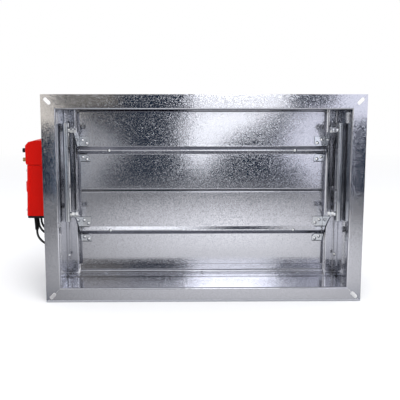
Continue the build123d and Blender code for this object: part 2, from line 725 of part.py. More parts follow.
def bracket_screws():
    """Screws in the bracket's feet."""
    screws = []
    for y, z in bracket_screw_places():
        screws.append(pan_screw(Plane((-WALL_OUT - BRACKET_SHEET, y, z), z_dir=(-1, 0, 0)), BRACKET_SHEET))
    return group(screws)


def actuator_plan(depth, inset):
    """Plan outline of the actuator, square at the wall side and rounded on the outside."""
    outline = Rectangle(depth - inset, ACTUATOR_WIDTH - 2 * inset, align=(Align.MAX, Align.CENTER))
    outer = outline.vertices().group_by(Axis.X)[0]
    return Pos(-ACTUATOR_FACE, AXIS_Y) * fillet(outer, ACTUATOR_CORNER - inset)


def actuator_body():
    """Lower red housing, wider towards its foot, with a raised panel and a set-back joint under the head."""
    foot = Plane.XY.offset(BODY_BOTTOM) * actuator_plan(BODY_BOTTOM_DEPTH, 0)
    shoulder = Plane.XY.offset(BODY_TOP) * actuator_plan(BODY_TOP_DEPTH, 0)
    body = loft([foot, shoulder], ruled=True)
    body += along_z(actuator_plan(BODY_TOP_DEPTH, PARTING_INSET), BODY_TOP, HEAD_BOTTOM)
    panel_face = -BODY_OUT - BODY_TAPER * (BODY_TOP - BULGE_BOTTOM) - BULGE
    panel = block(
        (panel_face, panel_face + 2 * BULGE),
        (ACTUATOR_FRONT + BULGE_MARGIN, ACTUATOR_FRONT + ACTUATOR_WIDTH - BULGE_MARGIN),
        (BULGE_BOTTOM, BULGE_TOP),
    )
    rim = panel.faces().sort_by(Axis.X)[0].edges()
    body += chamfer(rim, BULGE_EDGE)
    for seat in actuator_screw_seats():
        body -= seat * Cylinder(SCREW_RADIUS, 4 * SCREW_HEAD)
    return body


def actuator_screw_seats():
    """Planes of the four housing screws, square to the sloped outer face."""
    inset = ACTUATOR_CORNER + SCREW_HEAD_RADIUS
    front = ACTUATOR_FRONT + inset
    back = ACTUATOR_FRONT + ACTUATOR_WIDTH - inset
    seats = []
    for z in (BODY_BOTTOM + inset, BODY_TOP - inset):
        face_x = -BODY_OUT - BODY_TAPER * (BODY_TOP - z)
        seats.extend(Plane((face_x, y, z), z_dir=(-1, 0, BODY_TAPER)) for y in (front, back))
    return seats


def actuator_screws():
    """Housing screws on the outer face of the actuator."""
    return group([pan_screw(seat, 2 * SCREW_HEAD) for seat in actuator_screw_seats()])


def actuator_head():
    """Upper red housing with a sloped top and eased edges, bored for the drive hub."""
    side_view = Polygon(
        (-ACTUATOR_FACE, HEAD_BOTTOM),
        (-HEAD_OUT + HEAD_LOW_EDGE, HEAD_BOTTOM),
        (-HEAD_OUT, HEAD_BOTTOM + HEAD_LOW_RISE),
        (-HEAD_OUT, HEAD_SHOULDER),
        (-ACTUATOR_FACE - HEAD_CHAMFER_DEPTH, HEAD_CHAMFER_TOP),
        (-ACTUATOR_FACE - HEAD_SLOPE_END, HEAD_TOP),
        (-ACTUATOR_FACE, HEAD_TOP),
        align=None,
    )
    outer = side_view.vertices().filter_by_position(Axis.X, -HEAD_OUT, -ACTUATOR_FACE - HEAD_CHAMFER_DEPTH)
    upper = outer.filter_by_position(Axis.Y, HEAD_SHOULDER, HEAD_TOP)
    side_view = fillet(upper, HEAD_EDGE_RADIUS)
    head = through_depth(side_view)
    head &= along_z(actuator_plan(HEAD_DEPTH, 0), HEAD_BOTTOM, HEAD_TOP)
    bore_start = -HEAD_OUT - CUT_OVERRUN
    hub_bore = rod_x(HUB_RADIUS + HUB_GAP, bore_start, -ACTUATOR_FACE + CUT_OVERRUN, AXIS_Y, UPPER_AXIS_Z)
    screw_bore = rod_x(STOP_SCREW_STEM, bore_start, -HEAD_OUT + STOP_SCREW_REACH, AXIS_Y, STOP_SCREW_Z)
    return head - hub_bore - screw_bore


def actuator_end_cap():
    """Black end cap under the actuator."""
    plan = actuator_plan(BODY_BOTTOM_DEPTH, END_CAP_INSET)
    return along_z(plan, BODY_BOTTOM - END_CAP, BODY_BOTTOM)


def drive_hub():
    """Hub on the drive shaft, turning in the actuator head."""
    hub = rod_x(HUB_RADIUS, -HEAD_OUT, -ACTUATOR_FACE - HUB_RECESS, AXIS_Y, UPPER_AXIS_Z)
    return hub - rod_x(SHAFT_RADIUS, -DRIVE_SHAFT_END, -ACTUATOR_FACE, AXIS_Y, UPPER_AXIS_Z)


def position_indicator():
    """Pointer disc and knob on the hub's outer face."""
    disc = rod_x(INDICATOR_DISC_RADIUS, -HEAD_OUT - INDICATOR_DISC, -HEAD_OUT, AXIS_Y, UPPER_AXIS_Z)
    knob = rod_x(INDICATOR_RADIUS, -HEAD_OUT - INDICATOR_REACH, -HEAD_OUT, AXIS_Y, UPPER_AXIS_Z)
    pointer = block(
        (-HEAD_OUT - POINTER_REACH, -HEAD_OUT),
        (AXIS_Y - POINTER_HALF_WIDTH, AXIS_Y + POINTER_HALF_WIDTH),
        (UPPER_AXIS_Z, UPPER_AXIS_Z + POINTER_TOP),
    )
    return disc + knob + pointer


def stop_screw():
    """Travel stop screw below the indicator."""
    cap = rod_x(STOP_SCREW_RADIUS, -HEAD_OUT - STOP_SCREW_REACH, -HEAD_OUT, AXIS_Y, STOP_SCREW_Z)
    cap = chamfer(cap.faces().sort_by(Axis.X)[0].edges(), STOP_SCREW_EDGE)
    slot = block(
        (-HEAD_OUT - STOP_SCREW_REACH, -HEAD_OUT - STOP_SCREW_REACH + STOP_SCREW_SLOT),
        (AXIS_Y - STOP_SCREW_RADIUS, AXIS_Y + STOP_SCREW_RADIUS),
        (STOP_SCREW_Z - STOP_SCREW_SLOT_HALF, STOP_SCREW_Z + STOP_SCREW_SLOT_HALF),
    )
    stem = rod_x(STOP_SCREW_STEM, -HEAD_OUT, -HEAD_OUT + STOP_SCREW_REACH, AXIS_Y, STOP_SCREW_Z)
    return cap - slot + stem


# Heat-release box

def box_plan(inset):
    """Outline of the box on the wall, in Y and Z."""
    outline = RectangleRounded(
        BOX_BACK - BOX_FRONT - 2 * inset, BOX_TOP - BOX_BOTTOM - 2 * inset, BOX_CORNER - inset / 2
    )
    return Pos(BOX_MID_Y, (BOX_TOP + BOX_BOTTOM) / 2) * outline


def release_box():
    """Box shell, open to its lid, with holes for the probe and the lead glands."""
    shell = extrude(Plane.YZ.offset(-LID_FACE) * box_plan(0), amount=BOX_DEPTH)
    shell -= extrude(Plane.YZ.offset(-LID_FACE) * box_plan(BOX_WALL), amount=BOX_DEPTH - BOX_WALL)
    shell -= rod_x(PROBE_RADIUS, -LID_FACE, -WALL_OUT, PROBE_Y, PROBE_Z)
    for y, z in lid_screw_places():
        post = rod_x(SCREW_HEAD_RADIUS, -LID_FACE, -WALL_OUT - BOX_WALL, y, z)
        shell += post - rod_x(SCREW_RADIUS, -LID_FACE, -LID_FACE + BOX_DEPTH / 2, y, z)
    return shell


def lid_screw_places():
    """Y and Z of the lid screws, on one diagonal."""
    inset = LID_SCREW_INSET
    return [(BOX_FRONT + inset, BOX_TOP - inset), (BOX_BACK - inset, BOX_BOTTOM + inset)]


def release_lid():
    """Lid with a bevelled rim and a guided hole for the test button."""
    lid = extrude(Plane.YZ.offset(-LID_OUT) * box_plan(0), amount=LID_DEPTH)
    lid = chamfer(lid.faces().sort_by(Axis.X)[0].edges(), LID_EDGE)
    hole = (-LID_OUT - CUT_OVERRUN, -LID_FACE + CUT_OVERRUN)
    lid -= rod_x(BUTTON_RADIUS + BUTTON_GAP, *hole, BOX_MID_Y, BUTTON_Z)
    for y, z in lid_screw_places():
        lid -= rod_x(SCREW_RADIUS, *hole, y, z)
    return lid


def lid_screws():
    """Lid screws."""
    screws = []
    for y, z in lid_screw_places():
        screws.append(pan_screw(Plane((-LID_OUT, y, z), z_dir=(-1, 0, 0)), LID_DEPTH + BOX_DEPTH / 4))
    return group(screws)


def test_button():
    """Round push button, kept in by a collar behind the lid."""
    stem = rod_x(BUTTON_RADIUS, -LID_OUT - BUTTON_STAND, -LID_FACE + BUTTON_TAIL, BOX_MID_Y, BUTTON_Z)
    stem = fillet(stem.faces().sort_by(Axis.X)[0].edges(), BUTTON_EDGE)
    collar_start = -LID_FACE + BUTTON_GAP
    collar = rod_x(BUTTON_COLLAR_RADIUS, collar_start, collar_start + BUTTON_COLLAR, BOX_MID_Y, BUTTON_Z)
    return stem + collar


def heat_probe():
    """Probe tube that reaches through the wall into the duct, with a collar on the wall."""
    tube = rod_x(PROBE_RADIUS, -WALL_OUT - BOX_WALL, -HALF_WIDTH + PROBE_REACH, PROBE_Y, PROBE_Z)
    tube = fillet(tube.faces().sort_by(Axis.X)[-1].edges(), PROBE_TIP)
    return tube + rod_x(PROBE_COLLAR_RADIUS, -HALF_WIDTH, -HALF_WIDTH + PROBE_COLLAR, PROBE_Y, PROBE_Z)


# Leads, their boots and glands

def tapered_boot(route):
    """Tapered boot from the actuator's end cap down to the start of a lead."""
    x, y, tip = route[0]
    top = BODY_BOTTOM - END_CAP
    boot = Pos(x, y, tip) * Cone(
        BOOT_TIP_RADIUS, BOOT_TOP_RADIUS, top - tip, align=(Align.CENTER, Align.CENTER, Align.MIN)
    )
    return boot


def box_gland(route):
    """Round gland under the box, down to the end of a lead."""
    x, y, tip = route[-1]
    dome = Pos(x, y, tip) * Cone(
        GLAND_TIP_RADIUS, GLAND_RADIUS, GLAND_TAPER, align=(Align.CENTER, Align.CENTER, Align.MIN)
    )
    return dome + rod_z(GLAND_RADIUS, x, y, tip + GLAND_TAPER, BOX_BOTTOM)


def lead(name, route):
    """Round lead along straight runs joined by the largest arcs that fit."""
    corners = [Vector(*point) for point in route]
    runs = [after - before for before, after in zip(corners, corners[1:])]
    radii = []
    for before, after in zip(runs, runs[1:]):
        half_turn = math.radians(before.get_angle(after)) / 2
        radii.append(ARC_SHARE * min(before.length, after.length) / math.tan(half_turn))
    path = FilletPolyline(*corners, radius=radii)
    section = Plane(corners[0], z_dir=runs[0]) * Circle(LEAD_RADIUS)
    tube = sweep(section, path=path)
    ideal = math.pi * LEAD_RADIUS**2 * path.length
    print(name, "length", round(path.length, 1), "radii", [round(r, 1) for r in radii])
    print(name, "volume", round(tube.volume, 1), "section times length", round(ideal, 1))
    return tube


LEAD_ROUTES = {
    "long_lead": LONG_LEAD_ROUTE,
    "middle_lead": MIDDLE_LEAD_ROUTE,
    "short_lead": SHORT_LEAD_ROUTE,
}


# Every piece under its own name

def blade_pieces(name, axis_z):
    """One blade with its skins, shafts, levers, studs and small parts."""
    studs = both_sides(right_pivot_stud(axis_z))
    nuts = []
    for piece in right_pivot_nuts(axis_z):
        nuts.extend(both_sides(piece))
    lever = right_lever(axis_z)
    return {
        f"{name}_front_skin": front_skin(axis_z),
        f"{name}_rear_skin": rear_skin(axis_z),
        f"{name}_right_shaft": stub_shaft(axis_z, SHAFT_OUTER_END, True),
        f"{name}_right_lever": lever,
        f"{name}_left_lever": mirror(lever, about=Plane.YZ),
        f"{name}_rivets": blade_rivets(axis_z),
        f"{name}_pivot_bolts": group(studs),
        f"{name}_pivot_nuts": group(nuts),
    }


def frame_pieces():
    """Casing, stops, jambs and bushes."""
    jamb = right_jamb()
    pieces = casing_pieces()
    pieces["top_stop"] = top_stop()
    pieces["bottom_stop"] = bottom_stop()
    pieces["right_jamb"] = jamb
    pieces["left_jamb"] = mirror(jamb, about=Plane.YZ)
    pieces["stop_rivets"] = stop_rivets()
    pieces["jamb_screws"] = jamb_screws()
    for level, axis_z in zip(("upper", "lower"), AXIS_HEIGHTS):
        right, left = both_sides(bush(axis_z))
        pieces[f"{level}_right_bush"] = right
        pieces[f"{level}_left_bush"] = left
    return pieces


def moving_pieces():
    """Both blades, the link bars and what turns with the drive shaft."""
    pieces = blade_pieces("upper_blade", UPPER_AXIS_Z)
    pieces.update(blade_pieces("lower_blade", LOWER_AXIS_Z))
    pieces["drive_shaft"] = mirror(stub_shaft(UPPER_AXIS_Z, DRIVE_SHAFT_END, False), about=Plane.YZ)
    pieces["lower_blade_left_shaft"] = mirror(pieces["lower_blade_right_shaft"], about=Plane.YZ)
    pieces["upper_shaft_clip"] = shaft_clip(UPPER_AXIS_Z)
    pieces["lower_shaft_clips"] = group(both_sides(shaft_clip(LOWER_AXIS_Z)))
    pieces["drive_hub"] = drive_hub()
    pieces["position_indicator"] = position_indicator()
    link = right_link_bar()
    pieces["right_link_bar"] = link
    pieces["left_link_bar"] = mirror(link, about=Plane.YZ)
    return pieces


def drive_pieces():
    """Actuator, heat-release box and leads."""
    pieces = {
        "actuator_bracket": actuator_bracket(),
        "bracket_screws": bracket_screws(),
        "actuator_body": actuator_body(),
        "actuator_head": actuator_head(),
        "actuator_end_cap": actuator_end_cap(),
        "actuator_screws": actuator_screws(),
        "stop_screw": stop_screw(),
        "release_box": release_box(),
        "release_lid": release_lid(),
        "lid_screws": lid_screws(),
        "test_button": test_button(),
        "heat_probe": heat_probe(),
        "lead_boots": group([tapered_boot(route) for route in LEAD_ROUTES.values()]),
        "box_glands": group([box_gland(route) for route in LEAD_ROUTES.values()]),
    }
    for name, route in LEAD_ROUTES.items():
        pieces[name] = lead(name, route)
    return pieces


os.makedirs("parts", exist_ok=True)
for pieces in (frame_pieces(), moving_pieces(), drive_pieces()):
    for node, shape in pieces.items():
        export_step(shape, f"parts/{node}.step")
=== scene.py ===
"""Looks of a duct fire damper: spangled zinc sheet, a plated linkage, a red actuator and its leads."""

import math

import bpy
from bpy.props import FloatProperty, FloatVectorProperty, PointerProperty
from mathutils import Euler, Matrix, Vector


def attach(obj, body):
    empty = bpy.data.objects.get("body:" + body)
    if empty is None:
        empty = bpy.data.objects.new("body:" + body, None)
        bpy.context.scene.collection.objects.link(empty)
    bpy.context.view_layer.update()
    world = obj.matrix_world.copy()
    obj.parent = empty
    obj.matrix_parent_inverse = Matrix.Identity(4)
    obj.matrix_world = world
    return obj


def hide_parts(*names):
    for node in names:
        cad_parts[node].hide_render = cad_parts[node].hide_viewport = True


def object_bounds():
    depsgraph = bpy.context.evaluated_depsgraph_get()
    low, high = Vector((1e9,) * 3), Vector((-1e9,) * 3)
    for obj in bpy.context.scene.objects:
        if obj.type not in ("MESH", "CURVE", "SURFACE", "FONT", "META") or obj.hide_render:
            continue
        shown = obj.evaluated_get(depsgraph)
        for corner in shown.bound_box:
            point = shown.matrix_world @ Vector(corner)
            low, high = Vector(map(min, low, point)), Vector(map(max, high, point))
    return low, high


bl_info = {
    "name": "Fire Damper Looks",
    "version": (1, 0, 0),
    "blender": (4, 5, 0),
    "location": "3D View > Sidebar > Damper",
    "description": "Finishes a duct fire damper and sets it on a pale studio floor",
    "category": "Object",
}

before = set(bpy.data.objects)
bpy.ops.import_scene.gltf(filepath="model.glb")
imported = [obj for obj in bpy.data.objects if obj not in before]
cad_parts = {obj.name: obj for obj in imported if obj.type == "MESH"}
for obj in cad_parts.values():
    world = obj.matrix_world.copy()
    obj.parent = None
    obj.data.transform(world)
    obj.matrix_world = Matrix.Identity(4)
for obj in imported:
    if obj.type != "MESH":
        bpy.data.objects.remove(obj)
CAD_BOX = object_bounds()

# Piece names by finish
# Casing sides, which also get the painted bluish shade deep inside the casing
DUCT_SHADED_SHEETS = ["casing_left", "casing_right"]
CLEAN_SHEETS = [
    "casing_top", "casing_bottom", "top_stop", "bottom_stop", "left_jamb", "right_jamb",
    "actuator_bracket",
]
BLADES = ["upper_blade", "lower_blade"]
SIDES = ["left", "right"]
BUSHES = ["upper_left_bush", "upper_right_bush", "lower_left_bush", "lower_right_bush"]
SHAFTS = ["drive_shaft", "upper_blade_right_shaft", "lower_blade_left_shaft", "lower_blade_right_shaft"]
SPRING_CLIPS = ["upper_shaft_clip", "lower_shaft_clips"]
OTHER_STEEL = ["drive_hub", "heat_probe"]
CASING_FASTENERS = ["stop_rivets", "jamb_screws", "bracket_screws", "actuator_screws", "lid_screws"]
RED_PIECES = ["actuator_body", "actuator_head"]
BLACK_PIECES = ["actuator_end_cap", "position_indicator", "release_box", "release_lid", "box_glands"]

# Routes of the three leads, in metres, from the actuator's boot to the gland under the box
LEAD_ROUTES = {
    "long_lead": [
        (-0.3405, 0.112, -0.0765), (-0.3405, 0.112, -0.087), (-0.3355, 0.115, -0.098),
        (-0.3275, 0.120, -0.107), (-0.316, 0.129, -0.115), (-0.3035, 0.141, -0.1195),
        (-0.2945, 0.1555, -0.116), (-0.2905, 0.1685, -0.102), (-0.2905, 0.176, -0.0795),
        (-0.2905, 0.176, -0.057),
    ],
    "middle_lead": [
        (-0.3407, 0.130, -0.0555), (-0.3407, 0.130, -0.0665), (-0.3375, 0.132, -0.078),
        (-0.331, 0.136, -0.087), (-0.321, 0.143, -0.094), (-0.309, 0.153, -0.0985),
        (-0.2985, 0.1665, -0.098), (-0.2925, 0.180, -0.092), (-0.2905, 0.191, -0.0815),
        (-0.2905, 0.197, -0.069), (-0.2905, 0.197, -0.057),
    ],
    "short_lead": [
        (-0.3382, 0.146, -0.0555), (-0.3382, 0.146, -0.0655), (-0.335, 0.148, -0.076),
        (-0.3285, 0.1525, -0.085), (-0.3185, 0.1605, -0.0925), (-0.308, 0.171, -0.099),
        (-0.298, 0.1845, -0.1015), (-0.292, 0.1985, -0.097), (-0.2905, 0.2095, -0.0845),
        (-0.2905, 0.215, -0.0705), (-0.2905, 0.215, -0.057),
    ],
}
LEAD_STEPS = 12
LEAD_ROUNDNESS = 4


# Settings that a user would change

class DamperMetalLook(bpy.types.PropertyGroup):
    """Colours and grain of the metal pieces."""

    zinc: FloatVectorProperty(
        name="Bright zinc", description="Colour of a clean zinc crystal",
        subtype="COLOR", size=3, min=0, max=1, default=(0.545, 0.55, 0.60),
    )
    dull_zinc: FloatVectorProperty(
        name="Dull zinc", description="Colour of a crystal with a dull skin",
        subtype="COLOR", size=3, min=0, max=1, default=(0.47, 0.48, 0.52),
    )
    spangle: FloatProperty(
        name="Spangle", description="Width of one zinc crystal",
        unit="LENGTH", min=0.0005, precision=4, default=0.0009,
    )
    casing_lean: FloatProperty(
        name="Casing lean", description="How far a crystal's face leans out of the casing's sheet",
        min=0, max=0.5, default=0.022,
    )
    blade_lean: FloatProperty(
        name="Blade lean", description="How far a crystal's face leans out of a blade's sheet",
        min=0, max=0.5, default=0.029,
    )
    plate: FloatVectorProperty(
        name="Zinc plate", description="Colour of plated levers and link bars",
        subtype="COLOR", size=3, min=0, max=1, default=(0.60, 0.62, 0.66),
    )
    bright_plate: FloatVectorProperty(
        name="Bright plate", description="Colour of plated bolts, nuts, screws and rivets",
        subtype="COLOR", size=3, min=0, max=1, default=(0.78, 0.79, 0.81),
    )
    steel: FloatVectorProperty(
        name="Shaft steel", description="Colour of turned shafts and spring clips",
        subtype="COLOR", size=3, min=0, max=1, default=(0.45, 0.45, 0.46),
    )
    # Painted shade: dark colour laid into corners and gaps where other faces stand close, in place of the
    # shade that falls there
    gap_shade: FloatVectorProperty(
        name="Gap shade", description="Colour of the dull film in corners and gaps",
        subtype="COLOR", size=3, min=0, max=1, default=(0.05, 0.053, 0.062),
    )
    # Painted shade: bluish dark colour laid on the zinc deep inside the casing, where its walls and parts
    # stand close
    duct_shade: FloatVectorProperty(
        name="Duct shade", description="Colour of the zinc deep inside the casing",
        subtype="COLOR", size=3, min=0, max=1, default=(0.15, 0.185, 0.275),
    )
    bronze: FloatVectorProperty(
        name="Bronze", description="Colour of the bushes",
        subtype="COLOR", size=3, min=0, max=1, default=(0.42, 0.26, 0.12),
    )
    brass: FloatVectorProperty(
        name="Brass", description="Colour of the stop screw",
        subtype="COLOR", size=3, min=0, max=1, default=(0.45, 0.30, 0.12),
    )


class DamperPlasticLook(bpy.types.PropertyGroup):
    """Colours of the moulded pieces."""

    red: FloatVectorProperty(
        name="Housing red", description="Colour of the actuator",
        subtype="COLOR", size=3, min=0, max=1, default=(0.62, 0.0045, 0.001),
    )
    black: FloatVectorProperty(
        name="Black plastic", description="Colour of the end cap, the box and the glands",
        subtype="COLOR", size=3, min=0, max=1, default=(0.014, 0.014, 0.016),
    )
    rubber: FloatVectorProperty(
        name="Black rubber", description="Colour of the leads and their boots",
        subtype="COLOR", size=3, min=0, max=1, default=(0.010, 0.010, 0.011),
    )
    button: FloatVectorProperty(
        name="Button red", description="Colour of the test button",
        subtype="COLOR", size=3, min=0, max=1, default=(0.70, 0.03, 0.02),
    )


class DamperLeads(bpy.types.PropertyGroup):
    """Size of the leads."""

    diameter: FloatProperty(
        name="Lead diameter", description="Outside diameter of each lead",
        unit="LENGTH", min=0.001, precision=4, default=0.0046,
    )


class DamperStudio(bpy.types.PropertyGroup):
    """Floor, light and camera."""

    floor: FloatVectorProperty(
        name="Floor", description="Colour of the studio floor",
        subtype="COLOR", size=3, min=0, max=1, default=(0.95, 0.95, 0.95),
    )
    ambient: FloatProperty(
        name="Ambient", description="Strength of the light from all round", min=0, default=0.80,
    )
    softbox: FloatProperty(
        name="Softbox", description="Brightness of the front softbox as metal shows it", min=0, default=2.0,
    )
    key: FloatProperty(
        name="Key light", description="Power of the large lamp overhead", unit="POWER", min=0, default=40.0,
    )
    lens: FloatProperty(
        name="Lens", description="Focal length of the camera", unit="CAMERA", min=1, default=59.885,
    )


# Shader building, with the numbers of the mix node's colour sockets

FIRST_COLOUR = 6
SECOND_COLOUR = 7
MIXED_COLOUR = 2


def add_node(tree, kind, inputs=None, **settings):
    """New shader node whose sockets take a value or a link, by socket name or number."""
    made = tree.nodes.new(kind)
    for name, value in settings.items():
        setattr(made, name, value)
    for name, value in (inputs or {}).items():
        if isinstance(value, bpy.types.NodeSocket):
            tree.links.new(value, made.inputs[name])
        else:
            made.inputs[name].default_value = value
    return made


def rgba(colour):
    """A colour with full opacity."""
    return (*colour, 1.0)


def new_material(name):
    """Empty material with its node tree and its shader."""
    material = bpy.data.materials.new(name)
    material.use_nodes = True
    tree = material.node_tree
    return material, tree, tree.nodes["Principled BSDF"]


def object_place(tree):
    """Position on the piece, in metres."""
    return add_node(tree, "ShaderNodeTexCoord").outputs["Object"]


def noise(tree, place, wavelength, detail=2.0, roughness=0.5):
    """Smooth random value with the given wavelength in metres."""
    inputs = {"Vector": place, "Scale": 1 / wavelength, "Detail": detail, "Roughness": roughness}
    return add_node(tree, "ShaderNodeTexNoise", inputs).outputs["Fac"]


def remap(tree, value, low, high, from_low=0.0, from_high=1.0):
    """Value moved from one range to another."""
    inputs = {"Value": value, "From Min": from_low, "From Max": from_high, "To Min": low, "To Max": high}
    return add_node(tree, "ShaderNodeMapRange", inputs).outputs["Result"]


def mix_colour(tree, factor, first, second):
    """Blend of two colours, each given as values or as a socket, by a factor."""
    colours = [end if isinstance(end, bpy.types.NodeSocket) else rgba(end) for end in (first, second)]
    inputs = {"Factor": factor, FIRST_COLOUR: colours[0], SECOND_COLOUR: colours[1]}
    return add_node(tree, "ShaderNodeMix", inputs, data_type="RGBA").outputs[MIXED_COLOUR]


def bump(tree, height, distance, normal=None, strength=1.0):
    """Normal of a surface raised by a height times a distance in metres."""
    inputs = {"Height": height, "Distance": distance, "Strength": strength}
    if normal is not None:
        inputs["Normal"] = normal
    return add_node(tree, "ShaderNodeBump", inputs).outputs["Normal"]


def vector_math(tree, operation, *vectors):
    """Vector that an operation makes of one or two others."""
    inputs = dict(enumerate(vectors))
    return add_node(tree, "ShaderNodeVectorMath", inputs, operation=operation).outputs["Vector"]


def vector_length(tree, vector):
    """Length of a vector."""
    return add_node(tree, "ShaderNodeVectorMath", {0: vector}, operation="LENGTH").outputs["Value"]


def leaning_normal(tree, random_colour, normal, lean):
    """Normal that leans a random way, by an amount of its own, in each crystal."""
    centred = vector_math(tree, "SUBTRACT", random_colour, MIDDLE_COLOUR)
    leaned = add_node(tree, "ShaderNodeVectorMath", {0: centred, "Scale": lean}, operation="SCALE")
    turned = add_node(
        tree, "ShaderNodeVectorTransform", {"Vector": leaned.outputs["Vector"]},
        vector_type="VECTOR", convert_from="OBJECT", convert_to="WORLD",
    )
    return vector_math(tree, "NORMALIZE", vector_math(tree, "ADD", normal, turned.outputs["Vector"]))


# Finishes

MIDDLE_COLOUR = (0.5, 0.5, 0.5)
SHEET_WAVE = 0.16
SHEET_WAVE_HEIGHT = 0.00025
ROLL_STRETCH = (2.5, 60.0, 160.0)
ROLL_HEIGHT = 0.00002
CASING_GLOSS = (0.06, 0.24)
BLADE_GLOSS = (0.10, 0.26)
CRYSTAL_TONE = 0.86
LEAN_SPREAD = 5.0
DULL_POWER = 5.0
# Painted shade: how near other faces stand and how far the colour darkens, in corners and gaps and deep in
# the casing
GAP_SHADE_REACH = 0.014
GAP_SHADE_RANGE = (0.15, 0.70)
PLATE_GAP_SHADE_RANGE = (0.05, 0.50)
DUCT_REACH = 0.09
DUCT_RANGE = (0.22, 0.68)
CLOSENESS_SHADE_SAMPLES = 8
GRIT = 0.0009
GRIT_HEIGHT = 0.000012
PLATE_CLOUD = 0.006
PLATE_GLOSS = (0.07, 0.18)
PLATE_SHADE = 0.8
STEEL_RINGS = 300.0
STEEL_RING_WOBBLE = 1.5
STEEL_RING_HEIGHT = 0.00001
STEEL_CLOUD = 0.004
STEEL_GLOSS = (0.18, 0.36)
CAST_CLOUD = 0.005
CAST_DETAIL = 3.0
CAST_GLOSS = (0.25, 0.5)
CAST_SHADE = 0.6
PLASTIC_CLOUD = 0.03
PLASTIC_GRAIN = 0.0007
PLASTIC_GRAIN_HEIGHT = 0.000018
PLASTIC_SPECULAR = 0.06
PLASTIC_SHADE = 0.86
PLASTIC_GLOSS_SPREAD = (0.85, 1.15)
HOUSING_ROUGHNESS = 0.38
BOX_ROUGHNESS = 0.42
RUBBER_ROUGHNESS = 0.6
BUTTON_ROUGHNESS = 0.3


def shaded(colour, share):
    """A colour made darker."""
    return [part * share for part in colour]


def roll_lines(tree, place):
    """Random value drawn out into long lines across the sheet, as rolling leaves them."""
    drawn = add_node(tree, "ShaderNodeMapping", {"Vector": place, "Scale": ROLL_STRETCH})
    return add_node(tree, "ShaderNodeTexNoise", {"Vector": drawn.outputs[0], "Scale": 1.0}).outputs["Fac"]


def painted_closeness_shade(tree, clean, shade_colour, reach, openness_range):
    """Painted shade: the clean colour in the open, darkened towards the shade colour where other faces
    stand close.
    """
    inputs = {"Distance": reach}
    openness = add_node(tree, "ShaderNodeAmbientOcclusion", inputs, samples=CLOSENESS_SHADE_SAMPLES).outputs["AO"]
    return mix_colour(tree, remap(tree, openness, 0.0, 1.0, *openness_range), shade_colour, clean)


def galvanised_sheet(name, look, lean, gloss, duct_shaded=False):
    """Spangled zinc on rolled sheet: each crystal leans and shines its own way."""
    material, tree, shader = new_material(name)
    place = object_place(tree)
    crystals = add_node(tree, "ShaderNodeTexVoronoi", {"Vector": place, "Scale": 1 / look.spangle})
    random_colour = crystals.outputs["Color"]
    draws = add_node(tree, "ShaderNodeSeparateColor", {"Color": random_colour}).outputs
    dulled = add_node(tree, "ShaderNodeMath", {0: draws["Blue"], 1: DULL_POWER}, operation="POWER")
    dullness = dulled.outputs["Value"]
    waves = bump(tree, noise(tree, place, SHEET_WAVE), SHEET_WAVE_HEIGHT)
    rolled = bump(tree, roll_lines(tree, place), ROLL_HEIGHT, waves)
    grit = bump(tree, noise(tree, place, GRIT), GRIT_HEIGHT, rolled)
    amount = remap(tree, dullness, lean, lean * LEAN_SPREAD)
    tree.links.new(leaning_normal(tree, random_colour, grit, amount), shader.inputs["Normal"])
    tree.links.new(remap(tree, dullness, *gloss), shader.inputs["Roughness"])
    bright = mix_colour(tree, draws["Red"], shaded(look.zinc, CRYSTAL_TONE), look.zinc)
    clean = mix_colour(tree, dullness, bright, look.dull_zinc)
    # Painted shade: deep in the casing the colour darkens to a bluish shade, and in every corner and gap to
    # a dark shade
    if duct_shaded:
        clean = painted_closeness_shade(tree, clean, look.duct_shade, DUCT_REACH, DUCT_RANGE)
    tree.links.new(painted_closeness_shade(tree, clean, look.gap_shade, GAP_SHADE_REACH, GAP_SHADE_RANGE), shader.inputs["Base Color"])
    shader.inputs["Metallic"].default_value = 1.0
    return material


def zinc_plate(name, look, colour):
    """Even bright plating on small parts."""
    material, tree, shader = new_material(name)
    place = object_place(tree)
    cloud = noise(tree, place, PLATE_CLOUD)
    tree.links.new(remap(tree, cloud, *PLATE_GLOSS), shader.inputs["Roughness"])
    clean = mix_colour(tree, cloud, colour, shaded(colour, PLATE_SHADE))
    # Painted shade in corners and gaps, where other faces stand close
    corner_shaded = painted_closeness_shade(tree, clean, look.gap_shade, GAP_SHADE_REACH, PLATE_GAP_SHADE_RANGE)
    tree.links.new(corner_shaded, shader.inputs["Base Color"])
    tree.links.new(bump(tree, noise(tree, place, GRIT), GRIT_HEIGHT), shader.inputs["Normal"])
    shader.inputs["Metallic"].default_value = 1.0
    return material


def turned_steel(look):
    """Drawn and turned bar with fine rings along its length."""
    material, tree, shader = new_material("turned_steel")
    place = object_place(tree)
    inputs = {"Vector": place, "Scale": STEEL_RINGS, "Distortion": STEEL_RING_WOBBLE}
    rings = add_node(tree, "ShaderNodeTexWave", inputs)
    tree.links.new(bump(tree, rings.outputs["Fac"], STEEL_RING_HEIGHT), shader.inputs["Normal"])
    tree.links.new(remap(tree, noise(tree, place, STEEL_CLOUD), *STEEL_GLOSS), shader.inputs["Roughness"])
    shader.inputs["Base Color"].default_value = rgba(look.steel)
    shader.inputs["Metallic"].default_value = 1.0
    return material


def cast_metal(name, colour):
    """Plain bronze or brass with a faint cloud of tarnish."""
    material, tree, shader = new_material(name)
    cloud = noise(tree, object_place(tree), CAST_CLOUD, CAST_DETAIL)
    tarnished = mix_colour(tree, cloud, colour, shaded(colour, CAST_SHADE))
    tree.links.new(tarnished, shader.inputs["Base Color"])
    tree.links.new(remap(tree, cloud, *CAST_GLOSS), shader.inputs["Roughness"])
    shader.inputs["Metallic"].default_value = 1.0
    return material


